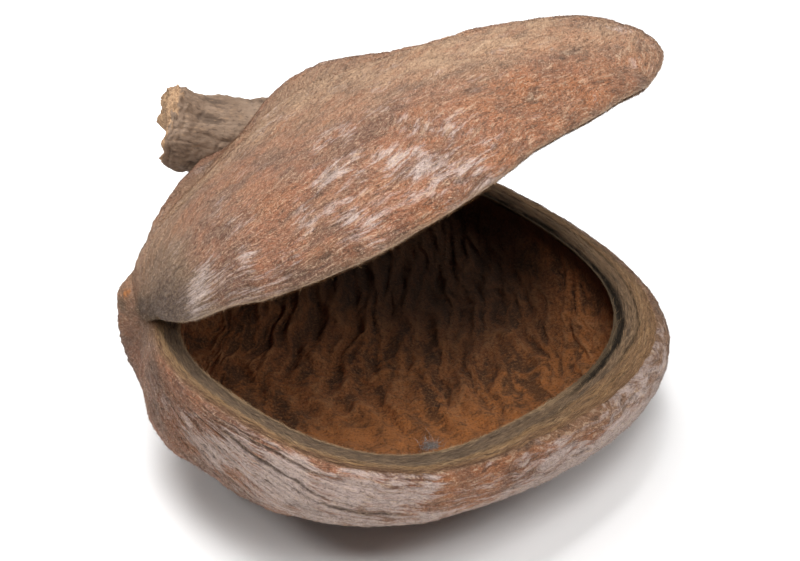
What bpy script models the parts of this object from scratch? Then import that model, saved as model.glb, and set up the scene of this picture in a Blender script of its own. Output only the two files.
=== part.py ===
"""A woody seed pod, open like a clam, lying on a small flat spot of its lower half.

The pod is one piece: two domed valves that stay joined along the back, a beak at the near
end of the split, and the stub of the stalk at the far end. All lengths here are millimetres
and are turned into metres when the points are placed.
"""

import bmesh
import bpy
import numpy as np
from math import radians

MM = 0.001

# Outline of the closed pod in the plane of its split, as radii at equal angles from +X.
OUTLINE = [54.6, 56.0, 54.1, 52.4, 46.8, 40.9, 34.3, 29.9]
OUTLINE += [28.0, 29.0, 35.9, 41.5, 48.4, 50.6, 48.5, 50.5]
SPLIT_NEAR = -150.7
SPLIT_FAR = 82.7
BEAK_ANGLE = -164.0
BEAK_LENGTH = 6.0
BEAK_WIDTH = 10.0
BEAK_FADE = (1.5, 5.0)

# The two valves: depth, roundness of the section, and where the deepest point lies.
# The bowl's belly swells below its rim: everywhere, more on one side, and the angle of that
# side. Its keel is a low rise under the weight: height, spread and place.
BOWL_DEPTH = 25.6
BOWL_ROUND = 2.02
BOWL_DEEPEST = (-16.0, -0.5)
BOWL_BELLY = (0.04, 0.06, 20.0)
BOWL_KEEL = (1.4, 12.0, 9.0, 3.0)
LID_DEPTH = 17.0
LID_ROUND = 1.89
LID_DEEPEST = (6.9, 3.5)
LID_REACH = 1.11

# The wall is thickest along the split.
WALL_RIM = 5.8
WALL_SIDE = 4.6
WALL_FLOOR = 4.4

# How far the lid has swung open about the line between the ends of the split.
OPENING = 40.8
BEND_FROM = 90.0
BEND_SMOOTHING = 8
BACK_FROM = 95.0
BACK_TO = 180.0

# How the pod lies, and the flat spot under its weight.
LEAN_X = -1.6
LEAN_Y = 9.3
FLAT_DEPTH = 0.6

# The stalk: centres and radii from the broken end to inside the wall, the slant of the break,
# and the shoulder of the pod beside it.
STALK = [
    ((-25.6, 37.9, 7.7), 6.0),
    ((-24.4, 37.9, 7.5), 6.6),
    ((-20.5, 38.1, 7.0), 6.2),
    ((-16.5, 38.3, 6.5), 6.1),
    ((-12.5, 38.4, 6.1), 6.3),
    ((-9.5, 37.8, 6.6), 6.2),
]
BREAK_SLANT = 0.3
SHOULDER_AT = (0.0, 41.0, 15.5)
SHOULDER_HEIGHT = 6.0
SHOULDER_SPREAD = 12.0

COLUMNS = 72
SPLIT_COLUMNS = 48
ROWS = 36
RIM_ROW = 20


def smooth(x):
    """Slides from 0 to 1 without corners."""
    x = np.clip(x, 0.0, 1.0)
    return x * x * (3.0 - 2.0 * x)


def outline_radius(angle):
    """Radius of the outline at an angle: a smooth closed curve through OUTLINE."""
    waves = np.fft.rfft(OUTLINE) / len(OUTLINE)
    radius = np.full_like(angle, waves[0].real)
    for k in range(1, len(waves)):
        share = 1.0 if 2 * k == len(OUTLINE) else 2.0
        radius += share * (waves[k].real * np.cos(k * angle) - waves[k].imag * np.sin(k * angle))
    return radius


def beak(angle, reach, side):
    """The beak: a short bump of the outline that fades towards the middle of each valve."""
    off = (angle - radians(BEAK_ANGLE) + np.pi) % (2 * np.pi) - np.pi
    fade = reach ** np.where(side > 0, BEAK_FADE[1], BEAK_FADE[0])
    return BEAK_LENGTH * np.exp(-((off / radians(BEAK_WIDTH)) ** 2)) * fade


def split_line():
    """The near end of the split, the unit vector along it, and the one towards the free side."""
    ends = []
    for degrees in (SPLIT_NEAR, SPLIT_FAR):
        angle = radians(degrees)
        radius = float(outline_radius(np.array([angle]))[0])
        ends.append(np.array([radius * np.cos(angle), radius * np.sin(angle), 0.0]))
    along = (ends[1] - ends[0]) / np.linalg.norm(ends[1] - ends[0])
    return ends[0], along, np.cross(along, [0.0, 0.0, 1.0])


def lumps(x, y):
    """Broad swells of the outer skin, in millimetres."""
    long_swell = np.sin(0.115 * x - 0.05 * y + 0.6) * np.sin(0.14 * y + 0.03 * x)
    short_swell = np.sin(0.21 * x + 0.17 * y + 1.9) * np.cos(0.06 * x - 0.24 * y)
    return 0.75 * long_swell + 0.3 * short_swell


def folds(x, y):
    """Wavy folds of the lining, which run from the back of the bowl to its front."""
    bend = 3.0 * np.sin(0.11 * y + 0.5) + 1.3 * np.sin(0.23 * y + 0.05 * x)
    return 0.45 * np.sin(0.95 * (x + bend) + 0.02 * x * x / 10.0)


def closed_point(angle, turn, side, wall):
    """A point of the closed pod. turn runs from 0 at the deepest point to 1 at the split."""
    upper = side > 0
    depth = np.where(upper, LID_DEPTH, BOWL_DEPTH)
    power = np.where(upper, LID_ROUND, BOWL_ROUND)
    middle_x = np.where(upper, LID_DEEPEST[0], BOWL_DEEPEST[0])
    middle_y = np.where(upper, LID_DEEPEST[1], BOWL_DEEPEST[1])
    reach = np.sin(turn * np.pi / 2) ** (2 / power)
    height = np.cos(turn * np.pi / 2) ** (2 / power)
    belly = BOWL_BELLY[0] + BOWL_BELLY[1] * np.cos(angle - radians(BOWL_BELLY[2]))
    belly = np.where(upper, 0.0, belly)
    wide = reach * (1 + belly * 4 * height * (1 - height))
    free = np.degrees((angle - radians(SPLIT_NEAR)) % (2 * np.pi)) < SPLIT_FAR - SPLIT_NEAR
    side_wall = np.where(free, WALL_SIDE + (WALL_RIM - WALL_SIDE) * reach**8, WALL_SIDE)
    radius = outline_radius(angle) + np.where(wall, -side_wall, beak(angle, reach, side))
    x = middle_x * (1 - reach) + wide * radius * np.cos(angle)
    y = middle_y * (1 - reach) + wide * radius * np.sin(angle)
    off = np.hypot(x - BOWL_KEEL[2], y - BOWL_KEEL[3])
    keel = BOWL_KEEL[0] * np.exp(-(off**2) / (2 * BOWL_KEEL[1] ** 2))
    depth = depth + np.where(upper, 0.0, keel)
    swell = np.where(wall, np.where(upper, 0.0, folds(x, y)), lumps(x, y)) * (1 - reach**5)
    z = side * (np.where(wall, depth - WALL_FLOOR, depth) * height + swell)
    return np.stack([x, y, z], axis=-1)


def swing_open(points, side):
    """Swings the lid about the split line. The wall behind the line bends instead of breaking."""
    near, along, free = split_line()
    offset = points - near
    length = offset @ along
    across = offset @ free
    across = np.where((side > 0) & (across > 0), across * LID_REACH, across)
    distance = np.hypot(across, offset[:, 2])
    angle = np.arctan2(np.abs(offset[:, 2]), across)
    share = 1 - smooth((angle - radians(BEND_FROM)) / radians(180 - BEND_FROM))
    angle = np.where(side > 0, angle + radians(OPENING) * share, -angle)
    up = np.array([0.0, 0.0, 1.0])
    flat = length[:, None] * along + (distance * np.cos(angle))[:, None] * free
    return near + flat + (distance * np.sin(angle))[:, None] * up


def lean(points):
    """Turns the pod to how it lies on the table."""
    a, b = radians(LEAN_X), radians(LEAN_Y)
    about_x = np.array([[1, 0, 0], [0, np.cos(a), -np.sin(a)], [0, np.sin(a), np.cos(a)]])
    about_y = np.array([[np.cos(b), 0, np.sin(b)], [0, 1, 0], [-np.sin(b), 0, np.cos(b)]])
    return points @ (about_x @ about_y).T


def shoulder(points, below):
    """Swells the skin beside the root of the stalk, so that the pod narrows into it.

    below holds the points of the lining under the skin, which give the way outward.
    """
    outward = points - below
    outward = outward / np.linalg.norm(outward, axis=1)[:, None]
    off = np.linalg.norm(points - np.array(SHOULDER_AT), axis=1)
    rise = SHOULDER_HEIGHT * np.exp(-(off**2) / (2 * SHOULDER_SPREAD**2))
    return points + rise[:, None] * outward


def settle(points):
    """Flattens the lowest skin into a small level spot."""
    floor = points[:, 2].min() + FLAT_DEPTH
    points = points.copy()
    points[:, 2] = np.maximum(points[:, 2], floor)
    return points


def make_pod():
    """A globe slit along its rim row, moved point by point, then given its inner wall."""
    globe = bmesh.new()
    bmesh.ops.create_uvsphere(globe, u_segments=COLUMNS, v_segments=ROWS, radius=1.0)
    step = 2 * np.pi / COLUMNS
    row_height = np.cos(np.pi * RIM_ROW / ROWS)

    def column(vertex):
        return round(np.arctan2(vertex.co.y, vertex.co.x) / step) % COLUMNS

    slit = []
    for edge in globe.edges:
        on_row = all(abs(-v.co.z - row_height) < 1e-4 for v in edge.verts)
        inside = all(0 <= column(v) <= SPLIT_COLUMNS for v in edge.verts)
        if on_row and inside:
            slit.append(edge)
    bmesh.ops.split_edges(globe, edges=slit)

    angle, turn, side, end = [], [], [], []
    for vertex in globe.verts:
        around = column(vertex) * step
        corners = [0.0, SPLIT_COLUMNS * step, 2 * np.pi]
        degrees = np.interp(around, corners, [SPLIT_NEAR, SPLIT_FAR, SPLIT_NEAR + 360])
        row = np.arccos(np.clip(-vertex.co.z, -1, 1)) / np.pi * ROWS
        on_rim = abs(row - RIM_ROW) < 0.01
        faces_above = all(face.calc_center_median().z > vertex.co.z for face in vertex.link_faces)
        upper = faces_above if on_rim else row > RIM_ROW
        angle.append(radians(degrees))
        turn.append(min(row / RIM_ROW, 1.0) if row <= RIM_ROW else (ROWS - row) / (ROWS - RIM_ROW))
        side.append(1 if upper else -1)
        end.append(on_rim and column(vertex) in (0, SPLIT_COLUMNS))
    mesh = bpy.data.meshes.new("badam_pod")
    globe.to_mesh(mesh)
    globe.free()
    pod = bpy.data.objects.new("badam_pod", mesh)
    collection.objects.link(pod)

    angle, turn, side, end = np.array(angle), np.array(turn), np.array(side), np.array(end)
    no, yes = np.zeros(len(side), bool), np.ones(len(side), bool)
    inner = lean(swing_open(closed_point(angle, turn, side, yes), side))
    other = lean(swing_open(closed_point(angle, turn, -side, yes), -side))
    inner = np.where(end[:, None], (inner + other) / 2, inner)
    outer = lean(swing_open(closed_point(angle, turn, side, no), side))
    outer = settle(shoulder(outer, inner))
    floor = outer[:, 2].min()
    shift = np.array([0.0, 0.0, -floor])

    mesh.vertices.foreach_set("co", ((outer + shift) * MM).ravel())
    mesh.update()
    thicken = pod.modifiers.new("Wall", "SOLIDIFY")
    thicken.thickness = WALL_SIDE * MM
    thicken.offset = -1
    bpy.context.view_layer.objects.active = pod
    pod.select_set(True)
    bpy.ops.object.modifier_apply(modifier=thicken.name)
    both = np.concatenate([outer, inner]) + shift
    pod.data.vertices.foreach_set("co", (both * MM).ravel())
    pod.data.update()

    degrees = np.degrees(angle) % 360
    back = (degrees > BACK_FROM) & (degrees < BACK_TO) & (turn > 0.72)
    soft = bmesh.new()
    soft.from_mesh(pod.data)
    soft.verts.ensure_lookup_table()
    bend = [soft.verts[i] for i in np.flatnonzero(back)]
    for _ in range(BEND_SMOOTHING):
        bmesh.ops.smooth_vert(
            soft, verts=bend, factor=0.5, use_axis_x=True, use_axis_y=True, use_axis_z=True
        )
    soft.to_mesh(pod.data)
    soft.free()
    return pod, shift


def make_stalk(shift):
    """The stalk: a curve with a round section, its ends closed, with shallow bark furrows."""
    curve = bpy.data.curves.new("stalk", "CURVE")
    curve.dimensions = "3D"
    curve.bevel_depth = MM
    curve.bevel_resolution = 6
    curve.use_fill_caps = True
    curve.resolution_u = 3
    line = curve.splines.new("NURBS")
    line.points.add(len(STALK) - 1)
    line.use_endpoint_u = True
    line.order_u = 4
    for point, (centre, radius) in zip(line.points, STALK):
        point.co = (*((np.array(centre) + shift) * MM), 1.0)
        point.radius = radius
    holder = bpy.data.objects.new("stalk_curve", curve)
    collection.objects.link(holder)
    bpy.context.view_layer.update()
    ready = holder.evaluated_get(bpy.context.evaluated_depsgraph_get())
    mesh = bpy.data.meshes.new_from_object(ready)
    bpy.data.objects.remove(holder)

    welded = bmesh.new()
    welded.from_mesh(mesh)
    bmesh.ops.remove_doubles(welded, verts=welded.verts, dist=0.00001)
    bmesh.ops.recalc_face_normals(welded, faces=welded.faces)
    start, end = np.array(STALK[0][0]) + shift, np.array(STALK[-2][0]) + shift
    axis = (end - start) / np.linalg.norm(end - start)
    for vertex in welded.verts:
        place = np.array(vertex.co) / MM - start
        along = place @ axis
        spoke = place - along * axis
        round_angle = np.arctan2(spoke[2], spoke[1])
        groove = 0.3 * np.sin(5 * round_angle + 0.25 * along)
        groove += 0.22 * np.sin(8 * round_angle - 0.4 * along)
        oval = 1.0 + 0.05 * np.cos(2 * round_angle + 0.7)
        along -= BREAK_SLANT * spoke[2] * (1 - smooth(along / 9.0))
        spoke = spoke * oval * (1 + groove / 6.0)
        vertex.co = (start + along * axis + spoke) * MM
    welded.to_mesh(mesh)
    welded.free()
    stalk = bpy.data.objects.new("stalk", mesh)
    collection.objects.link(stalk)
    return stalk


def join(body, piece):
    """Joins a piece to the body with a Boolean union and removes the piece."""
    union = body.modifiers.new("Union", "BOOLEAN")
    union.operation = "UNION"
    union.solver = "EXACT"
    union.object = piece
    bpy.context.view_layer.objects.active = body
    bpy.ops.object.modifier_apply(modifier=union.name)
    bpy.data.objects.remove(piece)


def centre_over_origin(body):
    """Moves the mesh so that the middle of its box is over the origin."""
    corners = np.array([vertex.co for vertex in body.data.vertices])
    middle = (corners.min(axis=0) + corners.max(axis=0)) / 2
    for vertex in body.data.vertices:
        vertex.co.x -= middle[0]
        vertex.co.y -= middle[1]


for leftover in list(bpy.data.objects):
    bpy.data.objects.remove(leftover)

collection = bpy.data.collections.new("badam pod")
bpy.context.scene.collection.children.link(collection)

pod_object, lift = make_pod()
join(pod_object, make_stalk(lift))
centre_over_origin(pod_object)

husk = bpy.data.materials.new("woody_husk")
husk.use_nodes = True
shader = husk.node_tree.nodes["Principled BSDF"]
shader.inputs["Base Color"].default_value = (0.27, 0.13, 0.075, 1.0)
shader.inputs["Roughness"].default_value = 0.85
pod_object.data.materials.clear()
pod_object.data.materials.append(husk)
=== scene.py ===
# %% [markdown]
# # A woody seed pod, open like a clam
#
# This lesson dresses one woody pod: two domed valves that stay joined along the back, a beak at
# the near end of the split and the broken stub of a stalk at the far end. The plain solid of the
# pod is loaded first. Everything made here lies on that solid, in metres, with the table at z = 0.

# %% Load the plain pod
import sys
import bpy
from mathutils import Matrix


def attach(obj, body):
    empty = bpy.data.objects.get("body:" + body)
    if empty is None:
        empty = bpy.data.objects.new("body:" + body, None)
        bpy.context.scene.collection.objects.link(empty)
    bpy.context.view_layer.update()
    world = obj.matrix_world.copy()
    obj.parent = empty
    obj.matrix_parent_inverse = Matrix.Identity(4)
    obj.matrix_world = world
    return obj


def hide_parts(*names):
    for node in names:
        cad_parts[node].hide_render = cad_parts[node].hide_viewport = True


sys.dont_write_bytecode = True

from math import pi, radians

import bpy
import numpy as np
from mathutils import Matrix, Vector
from mathutils import noise as randomness

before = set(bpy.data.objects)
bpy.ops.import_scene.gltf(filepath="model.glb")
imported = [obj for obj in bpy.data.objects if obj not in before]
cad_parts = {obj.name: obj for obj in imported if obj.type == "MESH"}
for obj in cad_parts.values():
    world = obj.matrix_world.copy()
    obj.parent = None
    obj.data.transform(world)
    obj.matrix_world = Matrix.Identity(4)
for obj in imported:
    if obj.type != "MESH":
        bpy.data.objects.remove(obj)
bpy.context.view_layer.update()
MM = 0.001

# %% [markdown]
# The camera comes first. The photo was taken with a long lens from about 33 degrees above the
# table. The lens is turned a little off the pod's middle, so that the pod lands where it does in the
# photo.

# %% Camera
CAMERA_HEIGHT = radians(33.0)
CAMERA_DISTANCE = 0.5682
AIM = Vector((-0.011815, -0.000725, 0.026544))
AIM_RIGHT = 0.0219
AIM_UP = 0.00329
LENS, FILM_WIDTH = 161.34, 36.0

back = Vector((0, -np.cos(CAMERA_HEIGHT), np.sin(CAMERA_HEIGHT)))
up = Vector((0, np.sin(CAMERA_HEIGHT), np.cos(CAMERA_HEIGHT)))
behind = (back - AIM_RIGHT * Vector((1, 0, 0)) - AIM_UP * up).normalized()
to_right = up.cross(behind).normalized()
to_up = behind.cross(to_right)
bpy.ops.object.camera_add(location=AIM + CAMERA_DISTANCE * back)
camera = bpy.context.object
camera.rotation_euler = Matrix((to_right, to_up, behind)).transposed().to_euler()
camera.data.lens = LENS
camera.data.sensor_width = FILM_WIDTH
bpy.context.scene.camera = camera
print("camera at", [round(v, 3) for v in camera.location])

# %% [markdown]
# The form of the pod is a set of formulas in millimetres, the same ones as in the plain solid:
# an outline with two domes over it, closed like a mussel. Then the upper valve swings open about
# the line between the ends of the split, and the whole pod leans to where it comes to rest.
# Working from formulas means that a grid of any fineness can be laid over the pod. Where a size
# is a pair, the bowl's value comes first and the lid's second.

# %% Sizes of the pod, in millimetres
OUTLINE = [54.6, 56.0, 54.1, 52.4, 46.8, 40.9, 34.3, 29.9]
OUTLINE += [28.0, 29.0, 35.9, 41.5, 48.4, 50.6, 48.5, 50.5]
SPLIT_NEAR, SPLIT_FAR = -150.7, 82.7
BEAK_ANGLE, BEAK_LENGTH, BEAK_WIDTH, BEAK_FADE = -164.0, (6.0, 4.6), 10.0, (2.5, 7.0)
DEPTH, ROUND, DEEPEST = (25.6, 17.0), (2.02, 1.89), ((-16.0, -0.5), (6.9, 3.5))
BOWL_BELLY, BOWL_KEEL, LID_REACH = (0.04, 0.06, 20.0), (1.4, 12.0, 9.0, 3.0), 1.11
WALL_RIM, WALL_SIDE, WALL_FLOOR = 5.8, 4.6, 4.4
OPENING, BEND_FROM = 40.8, 90.0
LEAN_X, LEAN_Y = -1.6, 9.3
SHOULDER_AT, SHOULDER_HEIGHT, SHOULDER_SPREAD = (0.0, 41.0, 15.5), 6.0, 12.0
SHIFT = np.array([-11.815, -0.725, 26.544])
FLOOR = 0.0
LIP = 1.3
LEDGE_WIDTH, LEDGE_ANGLE, LEDGE_SPREAD = 1.7, -2.0, 42.0
WARP_ANGLES = [-150, -142, -134, -126, -118, -112, -106, -100, -80, -72, -60, -53, -46]
WARP_ANGLES += [-38, -28, -20, -12, -4, 5]
WARP_RISE = [0, 1.3, 1.2, 0.8, 0.4, 0.8, 1.0, 0.3, 0.2, 0.6, 1.0, 1.4, 1.9]
WARP_RISE += [1.3, 0.2, -0.2, -1.2, -0.8, 0]
WARP_RIGHT = [0, 1.3, 1.4, 1.2, 0, 0, 0, 0, 0, 0, 0, 0, 0, 0, 0, 0.3, 1.0, 1.0, 0]


def smooth(x):
    """Slides from 0 to 1 without corners."""
    x = np.clip(x, 0.0, 1.0)
    return x * x * (3.0 - 2.0 * x)


def unit(vectors):
    """The same directions, each with length 1."""
    return vectors / np.linalg.norm(vectors, axis=-1)[..., None]


def outline_radius(angle):
    """Radius of the closed pod's outline: a smooth curve through OUTLINE."""
    waves = np.fft.rfft(OUTLINE) / len(OUTLINE)
    radius = np.full_like(angle, waves[0].real)
    for k in range(1, len(waves)):
        share = 1.0 if 2 * k == len(OUTLINE) else 2.0
        radius += share * (waves[k].real * np.cos(k * angle) - waves[k].imag * np.sin(k * angle))
    return radius


def split_line():
    """Both ends of the split, the unit vector along it, and the one towards the free side."""
    ends = []
    for degrees in (SPLIT_NEAR, SPLIT_FAR):
        angle = radians(degrees)
        radius = float(outline_radius(np.array([angle]))[0])
        ends.append(np.array([radius * np.cos(angle), radius * np.sin(angle), 0.0]))
    along = unit(ends[1] - ends[0])
    return ends[0], ends[1], along, np.cross(along, [0.0, 0.0, 1.0])


NEAR, SPLIT_END, ALONG, FREE = split_line()


def closed_point(angle, turn, upper, wall):
    """A point of the closed pod. turn runs from 0 at the deepest point to 1 at the split."""
    depth, power, middle = DEPTH[upper], ROUND[upper], DEEPEST[upper]
    reach = np.sin(turn * pi / 2) ** (2 / power)
    height = np.abs(np.cos(turn * pi / 2)) ** (2 / power)
    belly = 0.0 if upper else BOWL_BELLY[0] + BOWL_BELLY[1] * np.cos(angle - radians(BOWL_BELLY[2]))
    wide = reach * (1 + belly * 4 * height * (1 - height))
    free = np.degrees((angle - radians(SPLIT_NEAR)) % (2 * pi)) < SPLIT_FAR - SPLIT_NEAR
    thick = np.where(free, WALL_SIDE + (WALL_RIM - WALL_SIDE) * reach**8, WALL_SIDE)
    if not upper:
        off = (np.degrees(angle) - LEDGE_ANGLE) / LEDGE_SPREAD
        thick = thick + LEDGE_WIDTH * np.exp(-(off**2)) * reach**8
    off = (angle - radians(BEAK_ANGLE) + pi) % (2 * pi) - pi
    beak = BEAK_LENGTH[upper] * np.exp(-((off / radians(BEAK_WIDTH) / (2.0 - reach)) ** 2))
    beak = beak * reach ** BEAK_FADE[upper]
    radius = outline_radius(angle) + (-thick if wall else beak)
    x = middle[0] * (1 - reach) + wide * radius * np.cos(angle)
    y = middle[1] * (1 - reach) + wide * radius * np.sin(angle)
    if not upper:
        off = np.hypot(x - BOWL_KEEL[2], y - BOWL_KEEL[3])
        depth = depth + BOWL_KEEL[0] * np.exp(-(off**2) / (2 * BOWL_KEEL[1] ** 2))
    swell = 0.0
    if not wall:
        swell = 0.75 * np.sin(0.115 * x - 0.05 * y + 0.6) * np.sin(0.14 * y + 0.03 * x)
        swell = swell + 0.3 * np.sin(0.21 * x + 0.17 * y + 1.9) * np.cos(0.06 * x - 0.24 * y)
    elif not upper:
        bend = 3.0 * np.sin(0.11 * y + 0.5) + 1.3 * np.sin(0.23 * y + 0.05 * x)
        swell = 0.45 * np.sin(0.95 * (x + bend) + 0.02 * x * x / 10.0)
    z = (depth - (WALL_FLOOR if wall else 0.0)) * height + swell * (1 - reach**5)
    return np.stack([x, y, z if upper else -z], axis=-1)


def about_split(points):
    """Where closed points lie about the split line: how far along it, from it, and the angle."""
    offset = points - NEAR
    across = offset @ FREE
    return offset @ ALONG, across, np.arctan2(np.abs(offset[..., 2]), across)


def swing_open(points, upper):
    """Swings the lid about the split line. The wall behind the line bends instead of breaking."""
    length, across, _ = about_split(points)
    if upper:
        across = np.where(across > 0, across * LID_REACH, across)
    distance = np.hypot(across, points[..., 2])
    angle = np.arctan2(np.abs(points[..., 2]), across)
    share = 1 - smooth((angle - radians(BEND_FROM)) / radians(180 - BEND_FROM))
    angle = angle + radians(OPENING) * share if upper else -angle
    flat = length[..., None] * ALONG + (distance * np.cos(angle))[..., None] * FREE
    return NEAR + flat + (distance * np.sin(angle))[..., None] * np.array([0.0, 0.0, 1.0])


def warp_rim(points, angle, turn):
    """Bends the lid's rim a little, as the real one dried: in at the side, out at the tip."""
    degrees = np.degrees(angle)
    amount = np.sin(turn * pi / 2) ** 6
    rise = np.interp(degrees, WARP_ANGLES, WARP_RISE, 0, 0) * amount
    right = np.interp(degrees, WARP_ANGLES, WARP_RIGHT, 0, 0) * amount
    return points + np.stack([right, 0 * right, rise], axis=-1)


def lean(points):
    """Turns the pod to how it lies on the table."""
    a, b = radians(LEAN_X), radians(LEAN_Y)
    about_x = np.array([[1, 0, 0], [0, np.cos(a), -np.sin(a)], [0, np.sin(a), np.cos(a)]])
    about_y = np.array([[np.cos(b), 0, np.sin(b)], [0, 1, 0], [-np.sin(b), 0, np.cos(b)]])
    return points @ (about_x @ about_y).T


print("near end of the split", (lean(NEAR[None])[0] + SHIFT).round(1), "mm")

# %% [markdown]
# Random shapes come from Blender's own Perlin noise, which gives the same number at the same
# place on each run. The size of a lump can be given on each axis, so that fibres are long and thin.


# %% Noise
def rough(points, size, octaves=3):
    """Random heights around 0. The size is a lump's width in millimetres, or one for each axis."""
    flat = (points / np.array(size)).reshape(-1, 3).tolist()
    values = [randomness.fractal(place, 1.0, 2.0, octaves) for place in flat]
    return np.array(values).reshape(points.shape[:-1])


def ridged(points, size, octaves=2):
    """Random sharp ridges from 0 to 1: the folds of the noise around 0, turned up."""
    return 1.0 - np.clip(np.abs(rough(points, size, octaves)) * 2.4, 0, 1)


FIBRE_RADIUS = 55.0


def fibre_space(closed, upper):
    """Places for fibres that run from end to end of the split: x along them, y and z across."""
    length, across, angle = about_split(closed)
    middle = (SPLIT_END - NEAR) @ ALONG / 2
    along = FIBRE_RADIUS * np.arctan2(np.hypot(across, closed[..., 2]), middle - length)
    angle = (angle if upper else -angle) + 0.02 * rough(closed + 20.0, 9, 3)
    return np.stack([along, FIBRE_RADIUS * np.cos(angle), FIBRE_RADIUS * np.sin(angle)], axis=-1)


# %% [markdown]
# Both valves are laid out as grids: columns run round the outline and rows run from the deepest
# point to the split. The rows crowd towards the split, where the edge is rounded over a lip. Two
# thirds of the columns lie on the free side, and the rest on the joined wall behind the split.
# The first column and the last are the same place.

# %% Grids over both valves
COLUMNS, SKIN_ROWS, BAND_ROWS, LINING_ROWS = 520, 176, 26, 140
VALVES = ((False, "bowl"), (True, "lid"))
FREE_SHARE = 2 / 3
FREE_COLUMNS = 0.655 * COLUMNS
COLUMN_SHARES = np.linspace(0, 1, COLUMNS + 1)
BAND_SHARES = np.linspace(0, 1, BAND_ROWS + 1)
DEGREES = np.interp(COLUMN_SHARES, [0, FREE_SHARE, 1], [SPLIT_NEAR, SPLIT_FAR, SPLIT_NEAR + 360])
ANGLES = np.radians(DEGREES)
BACKNESS = np.interp(COLUMN_SHARES, [0, 0.018, 0.648, FREE_SHARE, 1], [1, 0, 0, 1, 1])
IS_BACK = COLUMN_SHARES > FREE_SHARE - 1e-9
RIGHTNESS = smooth((DEGREES + 75) / 65)


def blurred(values, width, axis):
    """Averages along one axis with a bell of the given width, in grid steps."""
    reach = int(3 * width)
    bell = np.exp(-0.5 * (np.arange(-reach, reach + 1) / width) ** 2)
    bell /= bell.sum()
    pads = [(0, 0)] * values.ndim
    pads[axis] = (reach, reach)
    padded = np.pad(values, pads, mode="edge")
    result = np.zeros_like(values)
    for i, weight in enumerate(bell):
        result += weight * np.take(padded, range(i, i + values.shape[axis]), axis=axis)
    return result


def round_back(bowl, lid, turns):
    """Softens the bend of the wall behind the split, over both valves at once."""
    chain = np.concatenate([bowl, lid[::-1]])
    soft = blurred(blurred(chain, 7.0, 0), 7.0, 1)
    degrees = DEGREES % 360
    across = smooth((degrees - 88) / 14) * smooth((194 - degrees) / 22)
    rows = smooth((turns - 0.66) / 0.16)
    mask = np.concatenate([rows, rows[::-1]])[:, None] * across[None, :]
    chain = chain + (soft - chain) * mask[..., None]
    bowl, lid = chain[: len(turns)], chain[len(turns) :][::-1].copy()
    seam = (bowl[-1] + lid[-1]) / 2
    bowl[-1] = np.where(IS_BACK[:, None], seam, bowl[-1])
    lid[-1] = np.where(IS_BACK[:, None], seam, lid[-1])
    return bowl, lid


def valve_surfaces(turns):
    """Skin and lining of both valves on the same rows, in part millimetres, and fibre places."""
    angle, turn = np.meshgrid(ANGLES, turns)
    surfaces, fibres = {}, {}
    for upper in (False, True):
        for wall in (False, True):
            closed = closed_point(angle, turn, upper, wall)
            fibres[upper, wall] = fibre_space(closed, upper)
            placed = lean(swing_open(closed, upper))
            surfaces[upper, wall] = warp_rim(placed, angle, turn) if upper else placed
    near_seam = np.exp(-(((1 - turns) / 0.1) ** 2))[:, None, None] * BACKNESS[None, :, None]
    for wall in (False, True):
        gap = near_seam * ((surfaces[True, wall][-1] - surfaces[False, wall][-1]) / 2)
        surfaces[False, wall] = surfaces[False, wall] + gap
        surfaces[True, wall] = surfaces[True, wall] - gap
    for upper in (False, True):
        outward = unit(surfaces[upper, False] - surfaces[upper, True])
        off = np.linalg.norm(surfaces[upper, False] - np.array(SHOULDER_AT), axis=-1)
        rise = SHOULDER_HEIGHT * np.exp(-(off**2) / (2 * SHOULDER_SPREAD**2))
        surfaces[upper, False] = surfaces[upper, False] + rise[..., None] * outward
    for wall in (False, True):
        pair = round_back(surfaces[False, wall], surfaces[True, wall], turns)
        surfaces[False, wall], surfaces[True, wall] = pair
    return {key: points + SHIFT for key, points in surfaces.items()}, fibres


def crowd(rows, power):
    """Row places from 0 to 1 that crowd towards 1."""
    return 1 - (1 - np.linspace(0, 1, rows + 1)) ** power


SKIN_TURNS = crowd(SKIN_ROWS, 1.3)
LINING_TURNS = crowd(LINING_ROWS, 1.15)
skin_grid, skin_fibre = valve_surfaces(SKIN_TURNS)
lining_grid, _ = valve_surfaces(LINING_TURNS)
print("skin grid", skin_grid[True, False].shape, "lining grid", lining_grid[True, True].shape)

# %% [markdown]
# The relief of the skin is what makes dry wood look dry. Long low furrows follow the fibres from
# one end of the split to the other, finer ridges and pits lie between them, and on the lower left
# of the bowl the furrows open into cracks. All of it is real geometry, pushed out along the wall.
# Spots, each a place, a width and a strength, say where it cracks and where it swells or sinks.

# %% Relief of the skin
CRACKED = [
    (-32, -34, 22, 12, 0.9), (-22, -42, 18, 10, 0.6), (-10, -47, 14, 10, 0.3), (4, -42, 65, 10, 0.2),
    (14, -38, 67, 8, 0.15), (20, -40, 14, 12, 0.2),
]
SWELLINGS = [
    (20, 20, 63, 10, 0.8), (42, 0, 18, 6, 0.6), (-38, -24, 18, 7, 0.8), (-30, -32, 7, 6, -1.0),
    (-39, -8, 39, 4.5, 1.2), (-23, 25.5, 43.5, 3, -1.2), (-19, 27, 46.5, 3, -1.3),
    (-15, 28.5, 48.8, 3, -0.8),
]


def patches(points, spots):
    """A number for each point that is high near the spots: x, y, z, width and strength each."""
    total = np.zeros(points.shape[:-1])
    for x, y, z, width, strength in spots:
        off = np.linalg.norm(points - np.array([x, y, z]), axis=-1)
        total += strength * np.exp(-0.5 * (off / width) ** 2)
    return total


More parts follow.
